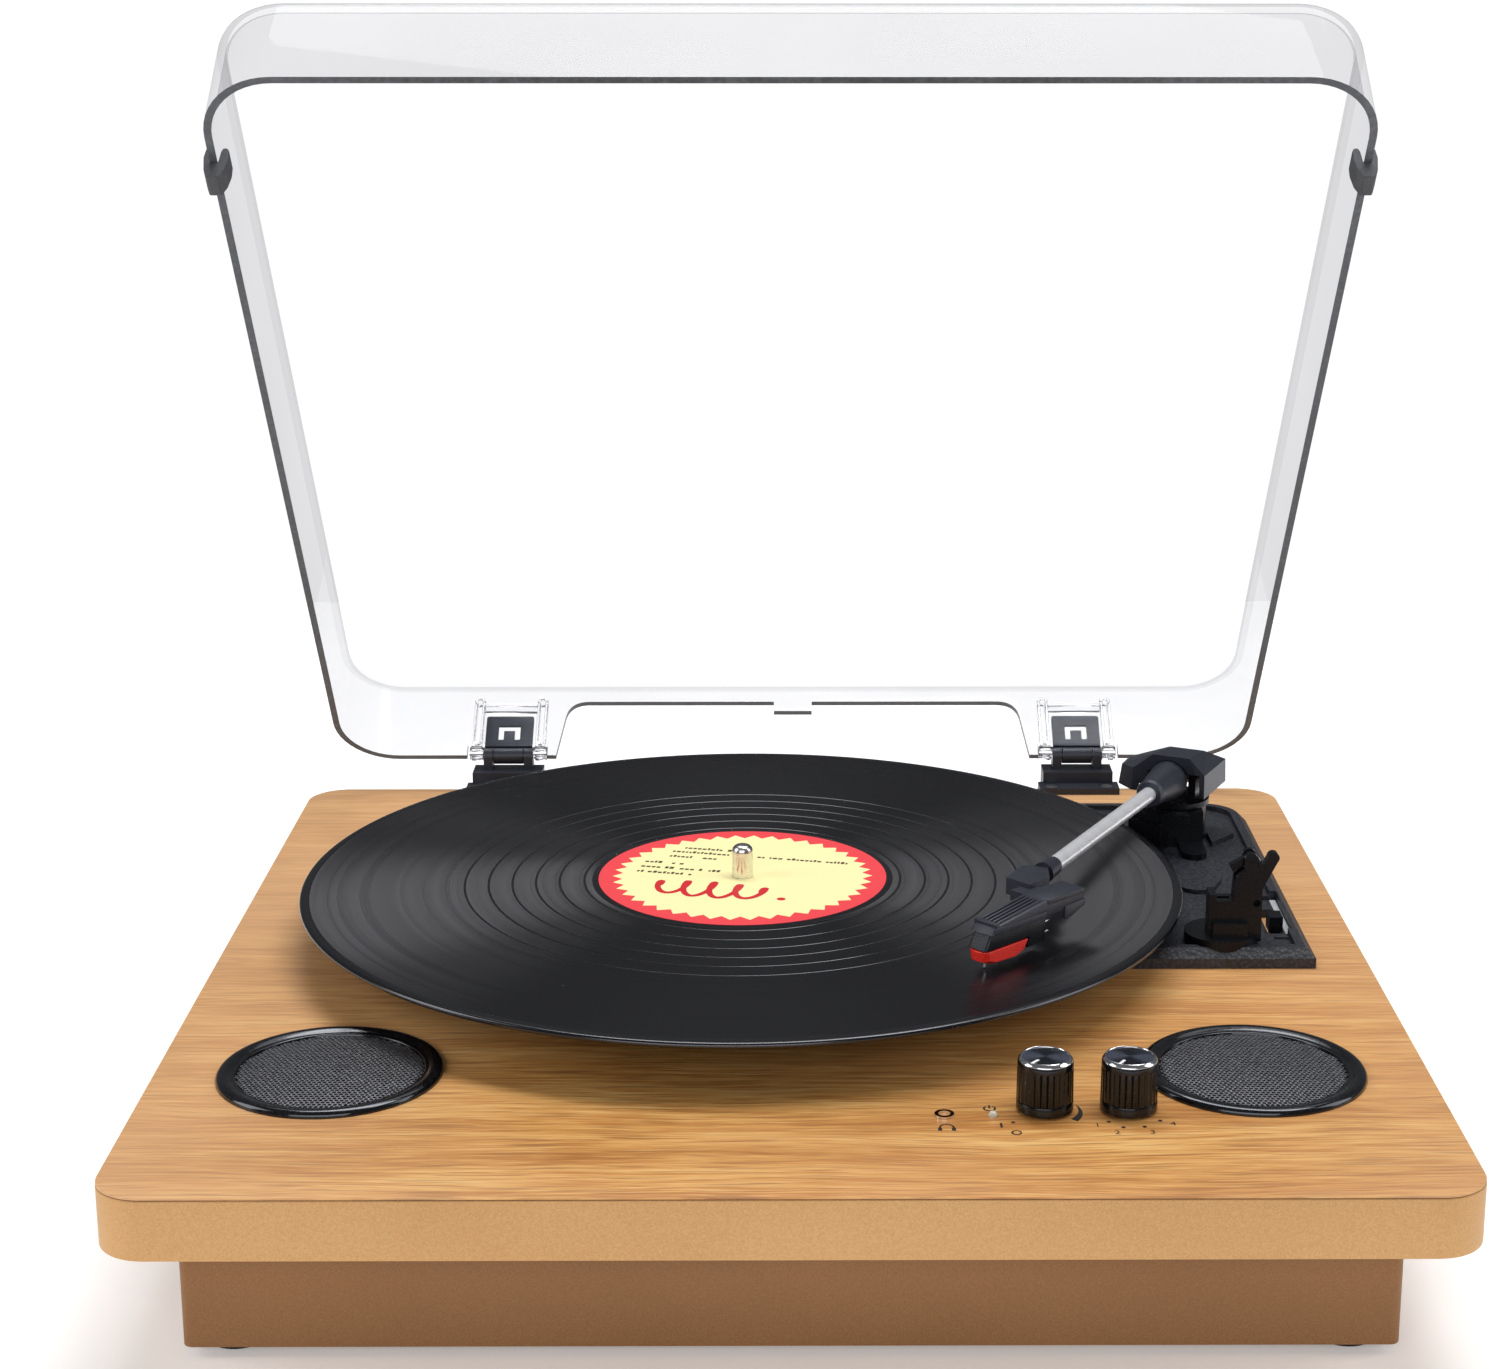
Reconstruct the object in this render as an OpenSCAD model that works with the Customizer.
// Belt-drive record player in a wooden case with built-in speakers.
// Deck frame: z = 0 on the deck's top face, x to the right, y to the back,
// with the deck's centre at x = 0, y = 0. on_deck() puts it on its feet.

/* [Case] */
// Width of the deck board
deck_w = 386; // [382:1:392]
// Depth of the deck board
deck_d = 378; // [376:1:384]
// Thickness of the deck board
deck_t = 18.8; // [18:0.2:20]
// Corner radius of the deck board in plan
deck_r = 15; // [10:1:20]
// How far the plinth stands in from the deck's edge
plinth_inset = 19.7; // [18:0.1:21]
// Height of the plinth
plinth_h = 36.4; // [36:0.2:42]
// Thickness of the plinth's boards
plinth_wall = 9; // [8:0.5:10]
// Thickness of the bottom panel
panel_t = 3; // [2:0.5:4]
// Height of the rubber feet
foot_h = 3.5; // [3:0.5:6]
// Radius of the rubber feet
foot_r = 10; // [9:0.5:11]

/* [Turntable] */
// Spindle axis, left to right from the deck's centre
spindle_x = -17.2; // [-19:0.1:-16]
// Spindle axis, front to back from the deck's centre
spindle_y = 25.2; // [24:0.1:27]
// Radius of the spindle
spindle_r = 3.6; // [3.55:0.01:3.62]
// Height of the spindle above the deck
spindle_top = 30.5; // [28:0.5:32]
// Radius of the record
record_r = 150.8; // [149:0.1:151]
// Height of the record's top face above the deck
record_top = 19; // [19:0.1:19.2]
// Radius of the record's paper label
label_r = 49.6; // [48:0.1:51]
// Radius of the platter
platter_r = 105; // [98:1:108]
// Radius of the belt ring under the platter
drive_ring_r = 60; // [56:1:62]
// Radius of the motor pulley
pulley_r = 6; // [5:0.5:6.5]
// Distance from the spindle to the motor
motor_reach = 80; // [79:0.5:82]

/* [Tonearm] */
// Pivot axis, left to right
pivot_x = 143.2; // [143:0.1:144]
// Pivot axis, front to back
pivot_y = 109.4; // [109:0.1:110]
// Direction of the tube, in degrees from straight ahead towards the record
arm_angle = 26; // [25:0.5:27]
// Length of the tube from the pivot
arm_reach = 130; // [128:0.5:131]
// Outer radius of the tube
tube_r = 2.8; // [2.5:0.1:3]
// Height of the tilt axis above the deck
tilt_z = 29.9; // [29.8:0.1:30.2]
// Rise of the tube towards the head, in degrees
tube_rise = 1.5; // [1.4:0.1:1.6]
// Direction of the cartridge, in degrees from straight ahead
head_angle = 46; // [45:0.5:47]

/* [Dust cover] */
// Width of the dust cover
lid_w = 363.9; // [362:0.1:366]
// Depth of the dust cover
lid_d = 350.1; // [348:0.1:352]
// Height of the dust cover's walls
lid_h = 36.5; // [36:0.1:38]
// Wall thickness of the dust cover
lid_t = 2.5; // [2:0.1:2.6]
// Gap between the deck and the closed cover's rim
lid_gap = 7.5; // [7.4:0.1:8]
// Angle of the cover as modelled, where it stands open
lid_open = 52.74; // [0:0.01:60]
// Distance of each hinge from the middle
hinge_x = 115; // [112:1:118]

/* [Controls and speakers] */
// Distance of each speaker from the middle
speaker_x = 139.6; // [138:0.1:141]
// Place of the speakers, front to back
speaker_y = -102; // [-104:0.5:-100]
// Outer radius of a speaker's trim ring
speaker_r = 34.2; // [33.5:0.1:35]
// Volume knob, left to right
volume_x = 74; // [73:0.5:75]
// Selector knob, left to right
selector_x = 98.6; // [98:0.1:100]
// Place of the knobs, front to back
knob_y = -130; // [-131:0.5:-129]
// Radius of a knob
knob_r = 8.4; // [8:0.1:8.6]
// Height of a knob's top above the deck
knob_h = 17; // [15:0.5:18]

/* [Hidden] */
$fn = 48;

// Small gap round a screw, pin or pressed part in its hole
fit = 0.05;
// Gap between pieces that move past each other
gap = 0.3;
// Overlap that makes a cut pass right through
cut = 1;

// Case
deck_z = foot_h + plinth_h + deck_t;
case_bottom = -deck_t - plinth_h;
plinth_w = deck_w - 2 * plinth_inset;
plinth_d = deck_d - 2 * plinth_inset;
inner_w = plinth_w - 2 * plinth_wall;
inner_d = plinth_d - 2 * plinth_wall;
block_w = 24;
foot_x = 160;
foot_y = 155;
panel_screw_x = 146;
panel_screw_y = 142;
screw_r = 1.7;

// Dust cover
hinge_y = deck_d / 2 + 7;
hinge_z = 12;
lid_back = hinge_y - 3.8;
lid_mid_y = lid_back - lid_d / 2;
lid_r = 24;
lid_top = lid_gap + lid_h;
open_back = hinge_y + (lid_back - hinge_y) * cos(lid_open) + (lid_top - hinge_z) * sin(lid_open);
deck_y = -(open_back - deck_d / 2) / 2;
hinge_pin_r = 1.5;
knuckle_r = 3.4;
knuckle_w = 12;
cheek_w = 3.6;
socket_w = 29.5;

// Turntable
bush_r = 6;
record_t = 2.2;
// The spindle is slimmer below the record's top face
shaft_r = spindle_r - 0.5;
// The record's own hole
record_hole_r = spindle_r + 0.3;
seat_z = record_top + 0.1;
mat_t = 2.8;
platter_top = record_top - record_t - mat_t;
ring_bottom = 2;
ring_top = 8;
motor_turn = 135;
motor_x = spindle_x + motor_reach * cos(motor_turn);
motor_y = spindle_y + motor_reach * sin(motor_turn);
motor_r = 17.5;
motor_h = 22;
motor_plate_z = -deck_t - 3.5;
shaft_hole_r = 9;

// Tonearm
plate_left = 106;
plate_right = 174.5;
plate_front = -15;
plate_back = 151.5;
plate_edge = 3.4;
plate_h = 6.4;
plate_floor = 4.5;
post_r = 11.6;
post_top = 19.6;
turret_r = 12.6;
turret_z = post_top + gap;
collar_r = 7.4;
rest_x = 144.7;
rest_y = -0.8;
lever_x = 155.3;
lever_y = 3.2;
lever_z = 20;
clip_x = 153;
clip_z = 35.2;
slider_x = 165.2;
slider_y = 14;
cue_r = 22;
cue_pillar_r = 2.4;
cue_pillar_turn = -90 - arm_angle - 14;
cue_pillar_reach = 19.9;
island_top = 6;
head_x = 62.2;
head_y = -62.6;
stylus_z = record_top + 0.1;

// Controls
pot_floor = -3;
jack_x = 44.4;
jack_y = -134.1;
led_x = 58.6;
led_y = -134.7;
speaker_hole_r = 28.5;
skirt_r = speaker_hole_r - fit;
skirt_inner_r = 26.9;
skirt_bottom = -5;
speaker_screw_reach = 24.4;
board_x = 4;
board_y = -106;
board_w = 100;
board_d = 50;
board_z = -38;
rear_y = plinth_d / 2;
jack_z = -deck_t - 17;

// ---- Helpers ----

module on_deck() {
    translate([0, deck_y, deck_z]) children();
}

module round_rect(w, d, r) {
    square([w - 2 * r, d], center = true);
    square([w, d - 2 * r], center = true);
    for (x = [-1, 1], y = [-1, 1]) {
        translate([x * (w / 2 - r), y * (d / 2 - r)]) circle(r);
    }
}

module slab(w, d, r, z, h) {
    translate([0, 0, z]) linear_extrude(h) round_rect(w, d, r);
}

module rod(r, z, h) {
    translate([0, 0, z]) cylinder(r = r, h = h);
}

module four_corners(x, y) {
    for (i = [-1, 1], j = [-1, 1]) {
        translate([i * x, j * y, 0]) children();
    }
}

module at_spindle() {
    on_deck() translate([spindle_x, spindle_y, 0]) children();
}

module at_motor() {
    on_deck() translate([motor_x, motor_y, 0]) children();
}

module at_pivot() {
    on_deck() translate([pivot_x, pivot_y, 0]) children();
}

// x runs from the pivot to the head, y to the right-hand side
module on_arm() {
    at_pivot() rotate([0, 0, -90 - arm_angle]) children();
}

module on_tube() {
    on_arm() translate([0, 0, tilt_z]) rotate([0, -tube_rise, 0]) children();
}

// x runs from the front of the cartridge to its rear, y to its left
module on_head() {
    on_deck() translate([head_x, head_y, 0]) rotate([0, 0, 90 - head_angle]) children();
}

// The cover is drawn closed and then swung back about its hinge
module on_lid() {
    on_deck() translate([0, hinge_y, hinge_z]) rotate([-lid_open, 0, 0])
        translate([0, -hinge_y, -hinge_z]) children();
}

module both_hinges() {
    for (side = [-1, 1]) {
        translate([side * hinge_x, 0, 0]) children();
    }
}

module both_speakers() {
    on_deck() for (side = [-1, 1]) {
        translate([side * speaker_x, speaker_y, 0]) children();
    }
}

// A bar across x from x0 to x1 with a profile drawn in y and z
module across(x0, x1) {
    translate([x0, 0, 0]) rotate([90, 0, 90]) linear_extrude(x1 - x0) children();
}

// A plate across y from y0 to y1 with a profile drawn in x and z
module along(y0, y1) {
    translate([0, y1, 0]) rotate([90, 0, 0]) linear_extrude(y1 - y0) children();
}

// ---- Case ----

module top_deck() {
    color("#c98d4c") on_deck() difference() {
        slab(deck_w, deck_d, deck_r, -deck_t, deck_t);
        for (side = [-1, 1]) {
            translate([side * speaker_x, speaker_y, 0])
                rod(speaker_hole_r, -deck_t - cut, deck_t + 2 * cut);
        }
        translate([spindle_x, spindle_y, 0]) rod(bush_r + fit, -deck_t - cut, deck_t + 2 * cut);
        translate([motor_x, motor_y, 0]) {
            rod(shaft_hole_r, -deck_t - cut, deck_t + 2 * cut);
            motor_screw_places() rod(1.5 + fit, -deck_t - cut, 9 + cut);
        }
        translate([pivot_x, pivot_y, 0]) rod(6, -deck_t - cut, deck_t + 2 * cut);
        translate([slider_x - 3, slider_y - 7, -deck_t - cut]) cube([6, 30, deck_t + 2 * cut]);
        control_pocket();
        both_hinges() hinge_screw_places() rod(1.3 + fit, -12, 12 + cut);
        board_screw_places() rod(2 + fit, -deck_t - cut, 6 + cut);
    }
}

// The knobs' and sockets' bodies sit in a pocket under a thin skin of board
module control_pocket() {
    translate([32, -146, -deck_t - cut]) cube([84, 32, deck_t + cut + pot_floor]);
    for (x = [volume_x, selector_x]) {
        translate([x, knob_y, 0]) rod(4 + fit, -6, 6 + cut);
    }
    translate([jack_x, jack_y, 0]) rod(2.5 + fit, -6, 6 + cut);
    translate([led_x, led_y, 0]) rod(1.5 + fit, -6, 6 + cut);
}

module plinth_frame() {
    color("#b37f45") on_deck() difference() {
        slab(plinth_w, plinth_d, 3, case_bottom, plinth_h);
        translate([-inner_w / 2, -inner_d / 2, case_bottom - cut])
            cube([inner_w, inner_d, plinth_h + 2 * cut]);
        translate([60, rear_y - plinth_wall - cut, jack_z - 9]) cube([60, plinth_wall + 2 * cut, 18]);
        translate([-100, rear_y - plinth_wall - cut, jack_z])
            rotate([-90, 0, 0]) cylinder(r = 6 + fit, h = plinth_wall + 2 * cut);
    }
}

module corner_blocks() {
    block_x = inner_w / 2 - block_w / 2;
    block_y = inner_d / 2 - block_w / 2;
    color("#d9b483") on_deck() difference() {
        four_corners(block_x, block_y)
            translate([-block_w / 2, -block_w / 2, case_bottom + panel_t])
                cube([block_w, block_w, plinth_h - panel_t]);
        four_corners(foot_x, foot_y) rod(screw_r + fit, case_bottom, 16);
        four_corners(panel_screw_x, panel_screw_y) rod(screw_r + fit, case_bottom, 16);
    }
}

module bottom_panel() {
    color("#3b3532") on_deck() difference() {
        slab(inner_w - 2 * gap, inner_d - 2 * gap, 2, case_bottom, panel_t);
        four_corners(foot_x, foot_y) rod(screw_r + fit, case_bottom - cut, panel_t + 2 * cut);
        four_corners(panel_screw_x, panel_screw_y)
            rod(screw_r + fit, case_bottom - cut, panel_t + 2 * cut);
        for (side = [-1, 1], i = [-4:4]) {
            translate([side * 75 + i * 7 - 1.25, 60, case_bottom - cut]) cube([2.5, 40, panel_t + 2 * cut]);
        }
    }
}

module rubber_feet() {
    color("#1d1d1f") on_deck() four_corners(foot_x, foot_y) difference() {
        translate([0, 0, case_bottom - foot_h]) cylinder(r1 = foot_r - 1, r2 = foot_r, h = foot_h);
        rod(screw_r + fit, case_bottom - foot_h - cut, foot_h + 2 * cut);
        rod(3.4, case_bottom - foot_h - cut, 2 + cut);
    }
}

module base_screws() {
    color("#8d8f92") on_deck() {
        four_corners(foot_x, foot_y) {
            rod(screw_r, case_bottom - foot_h + 2, 14);
            rod(3.2, case_bottom - foot_h + 0.6, 1.4);
        }
        four_corners(panel_screw_x, panel_screw_y) {
            rod(screw_r, case_bottom, 12);
            rod(3.2, case_bottom - 1.4, 1.4);
        }
    }
}

// ---- Turntable ----

module spindle_bush() {
    color("#b8945a") at_spindle() difference() {
        union() {
            rod(bush_r, -deck_t, deck_t);
            rod(11, 0, 1);
        }
        rod(shaft_r + fit, -deck_t - cut, deck_t + 2 * cut + 1);
    }
}

module spindle() {
    dome = 2.4;
    color("#dcdde0") at_spindle() {
        rod(shaft_r, -deck_t, deck_t + seat_z);
        rod(spindle_r, seat_z, spindle_top - dome - seat_z);
        translate([0, 0, spindle_top - dome]) rotate_extrude()
            polygon([[0, 0], [spindle_r, 0],
                for (a = [10:10:90]) [0.4 * spindle_r + 0.6 * spindle_r * cos(a), dome * sin(a)],
                [0, dome]]);
    }
}

module platter() {
    rim = 5;
    color("#2b2c2f") at_spindle() difference() {
        union() {
            rod(platter_r, ring_top, platter_top - ring_top);
            rod(drive_ring_r, ring_bottom, ring_top - ring_bottom);
        }
        translate([0, 0, ring_bottom - cut]) difference() {
            cylinder(r = drive_ring_r - 3, h = ring_top - ring_bottom + cut);
            translate([0, 0, -cut]) cylinder(r = 10, h = ring_top + 2 * cut);
        }
        translate([0, 0, ring_top - cut]) difference() {
            cylinder(r = platter_r - rim, h = 2.5 + cut);
            translate([0, 0, -cut]) cylinder(r = drive_ring_r + 3, h = 6);
        }
        rod(shaft_r + fit, 0, platter_top + cut);
    }
}

module platter_mat() {
    color("#151516") at_spindle() difference() {
        rod(platter_r - 1, platter_top, mat_t);
        rod(5, platter_top - cut, mat_t + 2 * cut);
    }
}

// Thick at the edge and under the label, thinner across the grooves
module vinyl_record() {
    under = record_top - record_t;
    color("#0c0c0d") at_spindle() rotate_extrude($fn = 180)
        polygon([[record_hole_r, under], [record_r - 0.6, under], [record_r, under + 0.7],
            [record_r, record_top - 0.7], [record_r - 0.6, record_top], [record_r - 3, record_top],
            [record_r - 4.5, record_top - 0.25], [label_r + 6, record_top - 0.25],
            [label_r + 4.5, record_top], [record_hole_r, record_top]]);
}

module record_label() {
    color("#e2574f") at_spindle() difference() {
        rod(label_r, record_top, 0.15);
        rod(record_hole_r, record_top - cut, 1 + cut);
    }
}

module motor_screw_places() {
    for (a = [30, 150, 270]) {
        rotate([0, 0, a]) translate([24, 0, 0]) children();
    }
}

module motor() {
    color("#a9abae") at_motor() difference() {
        union() {
            rod(motor_r, motor_plate_z - motor_h, motor_h);
            rod(4, motor_plate_z, 2.5);
        }
        rod(1 + fit, motor_plate_z - 6, 10);
    }
}

module motor_plate() {
    color("#c3c5c8") at_motor() difference() {
        rod(29, motor_plate_z, 1.5);
        rod(4 + fit, motor_plate_z - cut, 1.5 + 2 * cut);
        motor_screw_places() rod(1.5 + fit, motor_plate_z - cut, 1.5 + 2 * cut);
    }
}

module motor_grommets() {
    color("#232325") at_motor() motor_screw_places() difference() {
        rod(4.5, motor_plate_z + 1.5, 2);
        rod(1.5 + fit, motor_plate_z, 4);
    }
}

module motor_screws() {
    color("#8d8f92") at_motor() motor_screw_places() {
        rod(3, motor_plate_z - 1.5, 1.5);
        rod(1.5, motor_plate_z, 11);
    }
}

module motor_pulley() {
    color("#c9a86a") at_motor() {
        rod(1, motor_plate_z - 5.5, -motor_plate_z + 6.5);
        rod(pulley_r + 1.5, 1, 1);
        rod(pulley_r, 2, ring_top - 2.6);
        rod(pulley_r + 1.2, ring_top - 0.6, 0.3);
    }
}

// A flat ring round the platter's drive ring and the pulley
module drive_belt() {
    color("#101011") on_deck() translate([0, 0, 3]) linear_extrude(4) difference() {
        belt_outline(gap + 0.8);
        belt_outline(gap);
    }
}

module belt_outline(extra) {
    hull() {
        translate([spindle_x, spindle_y]) circle(drive_ring_r + extra, $fn = 96);
        translate([motor_x, motor_y]) circle(pulley_r + extra, $fn = 32);
    }
}

// ---- Tonearm base ----

module plate_outline(inset) {
    r = 17 - inset;
    left = plate_left + inset;
    right = plate_right - inset;
    front = plate_front + inset;
    back = plate_back - inset;
    translate([left, front]) square([right - left, back - front - r]);
    translate([left, front]) square([right - left - r, back - front]);
    translate([right - r, back - r]) circle(r);
}

module tonearm_plate() {
    color("#1e1f21") on_deck() difference() {
        union() {
            linear_extrude(plate_edge) plate_outline(0);
            hull() {
                translate([0, 0, plate_edge]) linear_extrude(0.01) plate_outline(0);
                translate([0, 0, plate_h - 0.01]) linear_extrude(0.01) plate_outline(3);
            }
        }
        difference() {
            translate([0, 0, plate_floor]) linear_extrude(10) plate_outline(6);
            mounds();
        }
        // Slot that the speed slider runs in
        translate([160.8, 6.5, 3]) cube([10, 38.5, 10]);
        translate([slider_x - 2.5, slider_y - 6, -cut]) cube([5, 27, 10]);
        // Small square recess in front of the slot
        translate([163.2, -4, plate_floor - 0.7]) cube([5.2, 7, 10]);
        translate([pivot_x, pivot_y, 0]) {
            rod(6, -cut, 20);
            // Guide that the cue bar's pillar slides in
            cue_pillar_place() rod(cue_pillar_r + fit, -cut, 20);
            rod(post_r + fit, island_top, 20);
        }
        translate([rest_x, rest_y, 0]) rod(12.5 + fit, plate_edge, 20);
    }
}

// Raised islands on the plate's floor: one under the post, one behind it and one beside it
module mounds() {
    linear_extrude(island_top) hull() {
        translate([pivot_x, pivot_y]) circle(11);
        translate([144.2, 53.7]) circle(6.5);
        translate([147.7, 60.2]) circle(6);
    }
    translate([pivot_x, pivot_y + 16.6, 0]) rod(19.6, 0, 7.5);
    linear_extrude(6.5) polygon([[156.3, 99.7], [166, 111], [166, 128], [156, 118]]);
}

module cue_pillar_place() {
    rotate([0, 0, cue_pillar_turn]) translate([cue_pillar_reach, 0, 0]) children();
}

module pivot_post() {
    color("#131314") at_pivot() difference() {
        union() {
            rod(post_r, island_top, post_top - island_top);
            translate([-4.2, -13.7, island_top]) cube([13, 14, post_top - island_top]);
            // Housing of the cue lift, in line with the tube
            rotate([0, 0, -90 - arm_angle]) translate([8, -10.1, island_top])
                cube([15.2, 12.3, 17.6 - island_top]);
            // Tongue that reaches out over the island in front of the post
            translate([4.2, -25.1, island_top]) cylinder(r = 4.6, h = 2.2);
            translate([-0.4, -25.1, island_top]) cube([9.2, 14, 2.2]);
            rod(6 - fit, -10, 18);
        }
        rod(4 + fit, -10 - cut, 40);
        cue_pillar_place() rod(cue_pillar_r + fit, island_top - cut, 20);
    }
}

module arm_rest() {
    ear_t = 2;
    ear_r = 2.2;
    color("#141415") on_deck() difference() {
        union() {
            translate([rest_x, rest_y, 0]) rod(12.5, plate_edge, 8.6 - plate_edge);
            // Cradle block with its stepped front
            translate([139.5, -6.5, 8]) cube([12, 8, 12.8]);
            translate([139.5, -6.5, 8]) cube([2.2, 8, 15]);
            translate([140.6, -9.2, 8]) cube([11.6, 4, 5.6]);
            // Tower
            along(-6.5, 1) polygon([[146.8, 6.5], [157.2, 6.5], [157, 33.4], [156.2, 34.2],
                [155.4, 34.2], [155.4, 32.5], [151.6, 32.5], [148.2, 29]]);
        }
        // Slot in the cradle's top
        translate([142.5, -3.6, 19.2]) cube([4.2, 2.2, 10]);
        // Notch for the clip and its pin
        translate([140, -4.2 - gap, 27]) cube([15.4, 2.9 + 2 * gap, 20]);
        translate([lever_x, 0, lever_z]) rotate([90, 0, 0]) cylinder(r = 1.2 + fit, h = 20, center = true);
    }
    color("#141415") on_deck() {
        // Ears that carry the clip's pin
        for (y = [-6.5, -1]) {
            along(y, y + ear_t) difference() {
                union() {
                    translate([clip_x, clip_z]) circle(ear_r);
                    translate([clip_x - ear_r, 29]) square([2 * ear_r, clip_z - 29]);
                }
                translate([clip_x, clip_z]) circle(1 + fit);
            }
        }
    }
}

// A short bar that swings up on a pin at the tower's top
module arm_clip() {
    color("#1b1b1c") on_deck() translate([clip_x, 0, clip_z]) {
        rotate([90, 0, 0]) translate([0, 0, -0.9]) cylinder(r = 1, h = 7.2);
        along(-4.2, -1.3) rotate(-150) {
            circle(1.6);
            translate([0, -1.2]) square([7.4, 2.4]);
        }
    }
}

module cue_lever() {
    reach = 14.6;
    color("#101011") on_deck() translate([lever_x, lever_y, lever_z]) {
        rotate([90, 0, 0]) translate([0, 0, -2]) cylinder(r = 1.2, h = 8);
        rotate([0, 26.3, 0]) {
            rotate([90, 0, 0]) translate([0, 0, -1.6]) cylinder(r = 2.4, h = 3.2);
            translate([-1.9, -1.6, 0]) cube([3.8, 3.2, reach]);
            translate([0, 0, reach]) rotate([90, 0, 0]) translate([0, 0, -1.6]) cylinder(r = 2, h = 3.2);
        }
    }
}

// Curved bar under the arm, on a pillar that rises with the lever
module cue_platform() {
    top = 21.5;
    color("#171718") at_pivot() {
        translate([0, 0, top - 3]) rotate([0, 0, -90 - arm_angle - 34])
            rotate_extrude(angle = 66) translate([cue_r - 2.5, 0]) square([5, 3]);
        cue_pillar_place() rod(cue_pillar_r, 1, top - 2);
    }
}

module speed_slider() {
    color("#0f0f10") on_deck() translate([slider_x, slider_y, 0]) {
        translate([-2.3, -3.6, 3 + gap]) cube([4.6, 7.2, 5.6]);
        translate([-1.6, -2.4, -6]) cube([3.2, 4.8, 10]);
    }
}

// Pale strip beside the slot
module speed_scale() {
    color("#b9bbbd") on_deck() translate([168.4, 7.2, 3]) cube([2.1, 36.6, 0.4]);
}

// ---- Tonearm ----

module arm_turret() {
    ear_y = 6.4;
    color("#111112") on_arm() {
        rod(turret_r, turret_z, 2);
        rod(4, -9.5, turret_z + 9.5);
        difference() {
            for (side = [-1, 1]) {
                translate([-4.5, side * (ear_y + 1.4) - 1.4, turret_z + 2])
                    cube([9, 2.8, tilt_z - turret_z + 1]);
            }
            translate([0, 0, tilt_z]) rotate([90, 0, 0]) cylinder(r = 1.2 + fit, h = 30, center = true);
        }
    }
}

module arm_pin() {
    color("#c9cacc") on_arm() translate([0, 0, tilt_z]) rotate([90, 0, 0])
        cylinder(r = 1.2, h = 18.4, center = true);
}

// Outline of the cover over the pivot, as sharp corners
module housing_corners(grow, floor_z) {
    corners = [[-19, 13.5, 24], [7.2, 13.5, 24], [7.6, 13.5, 33], [-18, 13.5, 33],
        [-15, -15, 24], [-6, -21, 25], [4, -21, 25], [7, -15, 24],
        [-14, -16, 33], [-5, -20, 33], [5, -19.5, 33], [8, -14, 33],
        [9, 8, 39.4], [9, -6.2, 39.4], [-3, 9.5, 39.6], [-3, -3.5, 39.6]];
    hull() for (c = corners) {
        translate([c[0] * grow, c[1] * grow, max(floor_z, c[2] - (1 - grow) * 14)]) sphere(0.02, $fn = 6);
    }
}

module arm_housing() {
    color("#26272a") on_arm() difference() {
        housing_corners(1, 0);
        difference() {
            housing_corners(0.86, 0);
            translate([-30, -30, 38]) cube([60, 60, 5]);
        }
        translate([-14, -12, 15]) cube([26, 23.5, 12]);
        // Opening for the collar and the notch beside it
        translate([0, 4.5, 20]) cube([20, 7.2, 13]);
        translate([0, -8.6, 15]) cube([20, 14, 18]);
        translate([0, 0, tilt_z]) rotate([0, 90, 0]) cylinder(r = collar_r + 0.4, h = 20);
    }
}

module arm_collar() {
    color("#202124") on_tube() difference() {
        rotate([0, 90, 0]) union() {
            translate([0, 0, -5]) cylinder(r = 5, h = 13);
            translate([0, 0, 8]) cylinder(r1 = 5, r2 = collar_r, h = 1);
            translate([0, 0, 9]) cylinder(r1 = collar_r, r2 = 4.8, h = 20.4);
            translate([0, 0, 29.4]) cylinder(r1 = 5.2, r2 = 4.6, h = 1.6);
        }
        rotate([90, 0, 0]) cylinder(r = 1.2 + fit, h = 20, center = true);
        rotate([0, 90, 0]) translate([0, 0, 12]) cylinder(r = tube_r + 0.02, h = 30);
    }
}

module arm_tube() {
    color("#d6d8db") on_tube() rotate([0, 90, 0]) difference() {
        translate([0, 0, 12]) cylinder(r = tube_r, h = arm_reach - 12);
        translate([0, 0, 11]) cylinder(r = tube_r - 0.5, h = arm_reach);
    }
}

// Angled socket between the tube and the headshell
module head_elbow() {
    elbow_top = 35.8;
    elbow_h = 5.6;
    color("#2d2e31") {
        on_deck() translate([0, 0, elbow_top - elbow_h]) linear_extrude(elbow_h)
            polygon([[69.8, -25.4], [76, -12.9], [84.4, -13.6], [84, -25], [77, -32.6]]);
        on_tube() rotate([0, 90, 0]) difference() {
            translate([0, 0, arm_reach - 1.5]) cylinder(r1 = tube_r + 0.4, r2 = tube_r + 0.9, h = 9.5);
            translate([0, 0, arm_reach - 6]) cylinder(r = tube_r + 0.02, h = 6);
        }
        on_head() translate([26, 5.1, 31]) cube([9, 9.9, 3.4]);
    }
}

module headshell() {
    color("#232427") on_head() difference() {
        intersection() {
            along(-8, 8) polygon([[-4.2, 31], [-2.5, 33.9], [21.3, 37], [39.6, 37], [39.6, 32.4],
                [31, 31.4], [14, 31.6]]);
            linear_extrude(60) polygon([[-5, -4.9], [-5, 4.9], [21, 4.6], [40, 5.2], [41, 5.2],
                [41, -5.2], [40, -5.2], [21, -4.6]]);
        }
        // Hollow behind the cartridge
        translate([24, -3.4, 20]) cube([14, 6.8, 15]);
    }
    // Fin at the rear of the right side
    color("#232427") on_head() along(-5.2, -4)
        polygon([[29.8, 33], [39.6, 33.4], [39.6, 31.2], [30.8, 28.2], [29.8, 28.8]]);
}

module cartridge_body() {
    color("#0e0e0f") on_head() along(-4, 4)
        polygon([[-6.4, 26.1], [-4, 30.9], [14, 31.5], [22.2, 31.4], [22.2, 23.1], [13, 22.6],
            [14.4, 26.1]]);
}

module stylus_holder() {
    color("#d2301f") on_head() along(-4.1, 4.1)
        polygon([[-7, 26], [13.8, 26], [11.8, 22.4], [8, 20.9], [-3.4, 21.2], [-6.4, 22.3]]);
}

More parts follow.
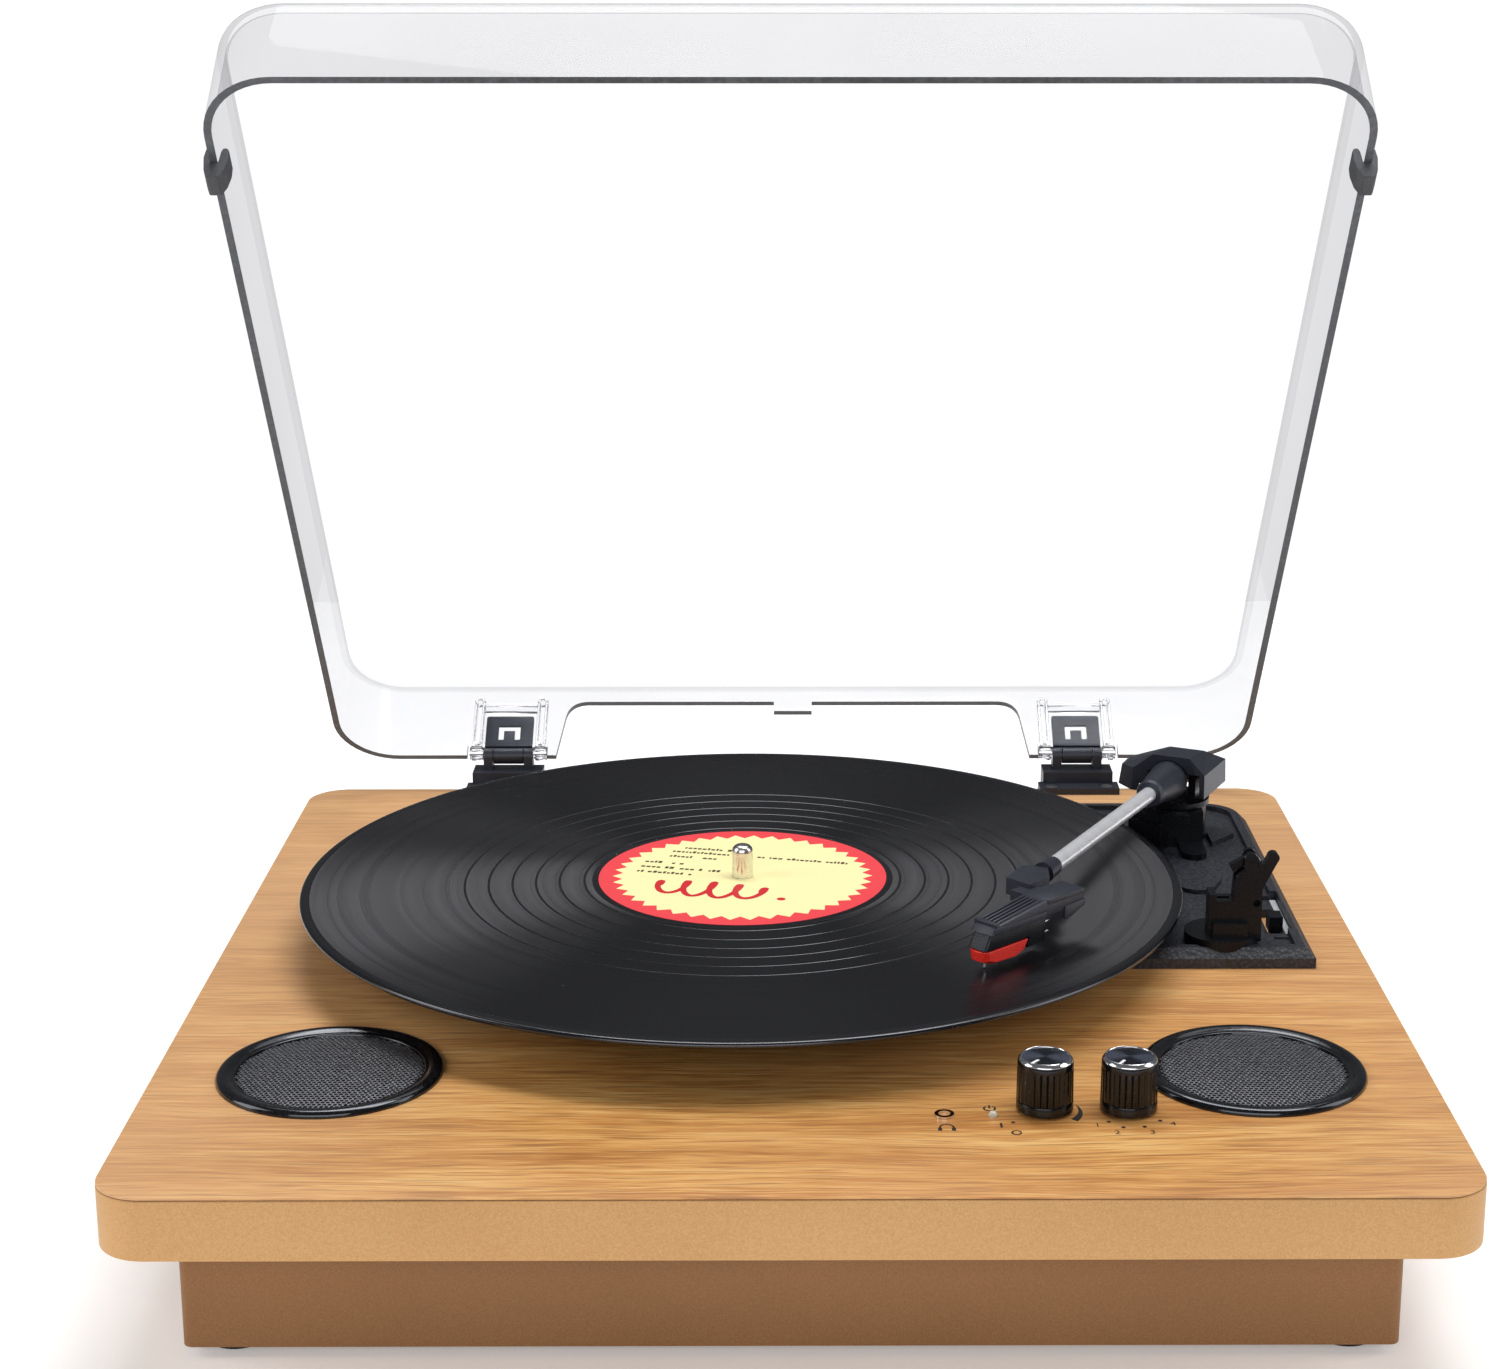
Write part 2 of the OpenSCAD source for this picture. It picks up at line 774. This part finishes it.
module stylus() {
    root_z = 21.1;
    color("#d8d9db") on_head() translate([-3, -0.4, 0]) {
        translate([0, 0, stylus_z]) cylinder(r1 = 0.15, r2 = 0.5, h = 0.7);
        rod(0.5, stylus_z + 0.7, root_z - stylus_z - 0.7);
    }
}

// ---- Speakers ----

// Trim ring with a skirt in the deck's hole, and bosses for the driver's screws
module speaker_rings() {
    color("#161618") both_speakers() {
        rotate_extrude($fn = 96) polygon([[skirt_inner_r, 0], [speaker_r, 0], [speaker_r, 0.7],
            [speaker_r - 0.7, 1.6], [speaker_r - 2, 2], [speaker_r - 3.6, 1.6], [speaker_r - 4.5, 0.9],
            [speaker_r - 5.2, 0.9], [speaker_r - 5.2, 0.5], [skirt_inner_r, 0.5]]);
        translate([0, 0, skirt_bottom]) linear_extrude(-skirt_bottom) difference() {
            union() {
                difference() {
                    circle(skirt_r);
                    circle(skirt_inner_r);
                }
                screw_ring() circle(3.2);
            }
            screw_ring() circle(1.5 + fit);
        }
    }
}

module speaker_grilles() {
    color("#2a2a2d") both_speakers() difference() {
        rod(speaker_hole_r - 0.2, 0.5, 1);
        rod(speaker_hole_r - 1.8, 0.2, 0.8);
    }
}

module screw_ring() {
    for (a = [45:90:315]) {
        rotate([0, 0, a]) translate([speaker_screw_reach, 0, 0]) children();
    }
}

// Flange, basket, magnet and hollow cone of a driver that hangs in the deck's hole
module speaker_drivers() {
    flange_t = 1.5;
    flange_z = skirt_bottom - flange_t;
    basket_z = -deck_t - 1;
    cone_z = -14.5;
    color("#3a3a3c") both_speakers() {
        difference() {
            union() {
                rod(speaker_hole_r - gap, flange_z, flange_t);
                translate([0, 0, basket_z]) cylinder(r1 = 14, r2 = 22, h = flange_z - basket_z);
                rod(19, basket_z - 12, 12);
            }
            translate([0, 0, cone_z]) cylinder(r1 = 6, r2 = 21, h = skirt_bottom - cone_z + 0.01);
            screw_ring() rod(1.5 + fit, flange_z - cut, flange_t + 2 * cut);
        }
        rod(7, cone_z - 1, 2.6);
    }
}

module speaker_screws() {
    color("#8d8f92") both_speakers() screw_ring() {
        rod(2.6, skirt_bottom - 2.9, 1.4);
        rod(1.5, skirt_bottom - 1.5, 5);
    }
}

// ---- Controls ----

module knob() {
    flutes = 24;
    difference() {
        union() {
            rod(knob_r, 0.8, 3.2);
            rod(knob_r - 0.2, 3.5, knob_h - 5);
            translate([0, 0, knob_h - 1.5]) cylinder(r1 = knob_r - 0.2, r2 = knob_r - 1, h = 1.5);
        }
        for (i = [0:flutes - 1]) {
            rotate([0, 0, i * 360 / flutes]) translate([knob_r + 0.2, 0, 4.2])
                cylinder(r = 0.75, h = knob_h - 6.4, $fn = 16);
        }
        rod(knob_r - 1.7, knob_h - 0.4, 1);
        rod(3 + fit, 0, knob_h - 4);
    }
}

module volume_knob() {
    color("#19191b") on_deck() translate([volume_x, knob_y, 0]) knob();
}

module selector_knob() {
    color("#19191b") on_deck() translate([selector_x, knob_y, 0]) knob();
}

module control_shaft(x) {
    color("#b9bbbe") on_deck() translate([x, knob_y, 0]) rod(3, -10, knob_h + 6 - 0.3);
}

module volume_shaft() {
    control_shaft(volume_x);
}

module selector_shaft() {
    control_shaft(selector_x);
}

// Threaded bush, square body and rear cover of a rotary control
module control_body(x, body_w) {
    on_deck() translate([x, knob_y, 0]) difference() {
        union() {
            rod(4, -4, 4.4);
            translate([-body_w / 2, -body_w / 2, -11 + pot_floor]) cube([body_w, body_w, 11]);
        }
        rod(3 + 0.06, -10.3, 20);
    }
}

module volume_pot() {
    color("#9b9da0") control_body(volume_x, 16);
}

module selector_switch() {
    color("#6f7a55") control_body(selector_x, 17.5);
}

module headphone_jack() {
    color("#cfd1d4") on_deck() translate([jack_x, jack_y, 0]) difference() {
        union() {
            rod(2.9, 0, 0.7);
            rod(2.5, -6, 6.2);
            translate([-4.5, -4.5, pot_floor - 13]) cube([9, 9, 13]);
        }
        rod(1.8, -14, 20);
    }
}

module power_led() {
    color("#e9e3d0") on_deck() translate([led_x, led_y, 0]) {
        rod(1.5, -6, 6.2);
        translate([0, 0, 0.2]) rotate_extrude() intersection() {
            circle(1.5);
            square([2, 2]);
        }
    }
}

module board_screw_places() {
    for (x = [6, board_w - 6], y = [6, board_d - 6]) {
        translate([board_x + x, board_y + y, 0]) children();
    }
}

module amplifier_board() {
    color("#2f6b3c") on_deck() {
        difference() {
            translate([board_x, board_y, board_z]) cube([board_w, board_d, 1.6]);
            board_screw_places() rod(2 + fit, board_z - 1, 4);
        }
        translate([board_x + 36, board_y + 14, board_z + 1.6]) cube([22, 14, 4]);
        for (x = [16, 72], y = [16, 32]) {
            translate([board_x + x, board_y + y, 0]) rod(5, board_z + 1.6, 10);
        }
    }
}

module board_standoffs() {
    color("#d8d8d2") on_deck() board_screw_places() {
        rod(2, board_z - 1.4, -board_z - deck_t + 6);
        rod(3.6, board_z - 2.4, 1.2);
        rod(3.6, board_z + 1.7, -board_z - 1.7 - deck_t);
    }
}

// ---- Rear panel ----

module rear_jack_plate() {
    color("#1b1b1d") on_deck() difference() {
        union() {
            translate([57, rear_y, jack_z - 12]) cube([66, 2, 24]);
            translate([60.3, rear_y - 6, jack_z - 8.7]) cube([59.4, 6, 17.4]);
        }
        for (x = [74, 92]) {
            translate([x, rear_y - 10, jack_z]) rotate([-90, 0, 0]) cylinder(r = 4.2, h = 20);
        }
        translate([109, rear_y - 10, jack_z]) rotate([-90, 0, 0]) cylinder(r = 3.2, h = 20);
    }
}

module rca_jacks() {
    color("#d8d2c0") on_deck() {
        for (x = [74, 92]) {
            translate([x, rear_y - 8, jack_z]) rotate([-90, 0, 0]) difference() {
                cylinder(r = 4.15, h = 18);
                translate([0, 0, 8]) cylinder(r = 1.6, h = 20);
            }
        }
        translate([109, rear_y - 12, jack_z]) rotate([-90, 0, 0]) difference() {
            cylinder(r = 3.15, h = 15);
            translate([0, 0, 1.5]) cylinder(r = 1.8, h = 20);
        }
    }
}

module dc_inlet() {
    color("#151516") on_deck() translate([-100, rear_y - 10, jack_z]) rotate([-90, 0, 0]) {
        difference() {
            union() {
                cylinder(r = 6, h = 10);
                translate([0, 0, 10]) cylinder(r = 8, h = 1.6);
            }
            translate([0, 0, 1.6]) cylinder(r = 2.8, h = 20);
        }
        translate([0, 0, 1]) cylinder(r = 1, h = 9.5);
    }
}

// ---- Dust cover ----

module dust_cover() {
    color([0.86, 0.88, 0.9, 0.35]) on_lid() difference() {
        union() {
            difference() {
                translate([0, lid_mid_y, 0]) slab(lid_w, lid_d, lid_r, lid_gap, lid_h);
                translate([0, lid_mid_y, 0])
                    slab(lid_w - 2 * lid_t, lid_d - 2 * lid_t, lid_r - lid_t, lid_gap - cut,
                        lid_h - lid_t + cut);
            }
            both_hinges() translate([-socket_w / 2, lid_back - 0.5, lid_gap + 5.6])
                cube([socket_w, 5.4, 25.4]);
        }
        translate([0, lid_back + 10, lid_gap]) back_cutout();
        both_hinges() hinge_pockets();
    }
}

// Wide opening in the back wall, with a tab left in the middle of its top
module back_cutout() {
    rotate([90, 0, 0]) linear_extrude(20) difference() {
        offset(r = 8) offset(delta = -8)
            polygon([[-95.3, -30], [95.3, -30], [91, 27], [-91, 27]]);
        translate([-7.7, 22.2]) square([15.4, 10]);
    }
}

module hinge_pockets() {
    translate([-16, lid_back - 10, lid_gap - cut]) cube([32, 12, 5.6 + cut]);
    // Slot that the leaf slides into
    translate([-10, lid_back + 0.2, lid_gap]) cube([20, 3.2, 24.5]);
    translate([-10.3, lid_back + 0.1, lid_gap]) cube([20.6, 10, 8.5]);
}

module hinge_leaves() {
    color("#2c2d30") on_lid() both_hinges() difference() {
        union() {
            translate([-9.9, lid_back + 0.25, hinge_z + 4]) cube([19.8, 3, 15.5]);
            translate([-knuckle_w / 2, lid_back + 0.25, hinge_z]) cube([knuckle_w, 3, 5]);
            translate([-knuckle_w / 2, hinge_y, hinge_z]) rotate([0, 90, 0])
                cylinder(r = knuckle_r, h = knuckle_w);
        }
        translate([0, hinge_y, hinge_z]) rotate([0, 90, 0])
            cylinder(r = hinge_pin_r + 0.06, h = 40, center = true);
        // Spring catch cut in the leaf
        along(0, lid_back + 10) translate([0, hinge_z + 8]) difference() {
            translate([-4.7, 0]) square([9.4, 6.6]);
            translate([-2.7, -1]) square([5.4, 5.6]);
        }
    }
}

module hinge_screw_places() {
    for (x = [-11, 11]) {
        translate([x, deck_d / 2 - 5, 0]) children();
    }
}

module hinge_bases() {
    back = deck_d / 2;
    color("#1f2023") on_deck() both_hinges() difference() {
        union() {
            translate([-16, back - 9, 0]) cube([32, 9.5, 2.6]);
            translate([-14, back + 0.3, -10]) cube([28, 10.4, 17]);
            translate([-14, back - 1, 0]) cube([28, 5, 7]);
            for (side = [-1, 1]) {
                translate([side * (knuckle_w / 2 + gap + cheek_w / 2) - cheek_w / 2, 0, 0]) {
                    translate([0, hinge_y - knuckle_r, 6]) cube([cheek_w, 2 * knuckle_r, hinge_z - 6]);
                    translate([0, hinge_y, hinge_z]) rotate([0, 90, 0])
                        cylinder(r = knuckle_r, h = cheek_w);
                }
            }
        }
        translate([0, hinge_y, hinge_z]) rotate([0, 90, 0])
            cylinder(r = hinge_pin_r + fit, h = 40, center = true);
        translate([-knuckle_w / 2 - gap, hinge_y - 5, 7.9]) cube([knuckle_w + 2 * gap, 10, 20]);
        hinge_screw_places() {
            rod(1.3 + fit, -5, 20);
            rod(2.8, 1.3, 5.8);
        }
    }
}

module hinge_pins() {
    length = knuckle_w + 2 * gap + 2 * cheek_w;
    color("#c9cacc") on_deck() both_hinges() translate([0, hinge_y, hinge_z])
        rotate([0, 90, 0]) cylinder(r = hinge_pin_r, h = length, center = true);
}

module hinge_screws() {
    color("#8d8f92") on_deck() both_hinges() hinge_screw_places() {
        rod(1.3, -10, 11.3);
        rod(2.6, 1.3, 1.2);
    }
}

// Soft clips on the cover's side rims that meet the deck
module lid_bumpers() {
    wall_x = lid_w / 2;
    color("#3c3d40") on_lid() for (side = [-1, 1]) {
        translate([0, -120, 0]) mirror([side > 0 ? 0 : 1, 0, 0]) difference() {
            translate([wall_x - 5, -4, gap]) cube([7.6, 8, 12.7]);
            translate([wall_x - lid_t - fit, -5, lid_gap]) cube([lid_t + 2 * fit, 10, 20]);
            translate([wall_x - 6, -5, lid_gap + 2.5]) cube([3.4, 10, 20]);
        }
    }
}

top_deck();
plinth_frame();
corner_blocks();
bottom_panel();
rubber_feet();
base_screws();
spindle_bush();
spindle();
platter();
platter_mat();
vinyl_record();
record_label();
motor();
motor_plate();
motor_grommets();
motor_screws();
motor_pulley();
drive_belt();
tonearm_plate();
pivot_post();
arm_rest();
arm_clip();
cue_lever();
cue_platform();
speed_slider();
speed_scale();
arm_turret();
arm_pin();
arm_housing();
arm_collar();
arm_tube();
head_elbow();
headshell();
cartridge_body();
stylus_holder();
stylus();
speaker_rings();
speaker_grilles();
speaker_drivers();
speaker_screws();
volume_knob();
volume_shaft();
volume_pot();
selector_knob();
selector_shaft();
selector_switch();
headphone_jack();
power_led();
amplifier_board();
board_standoffs();
rear_jack_plate();
rca_jacks();
dc_inlet();
dust_cover();
hinge_leaves();
hinge_bases();
hinge_pins();
hinge_screws();
lid_bumpers();
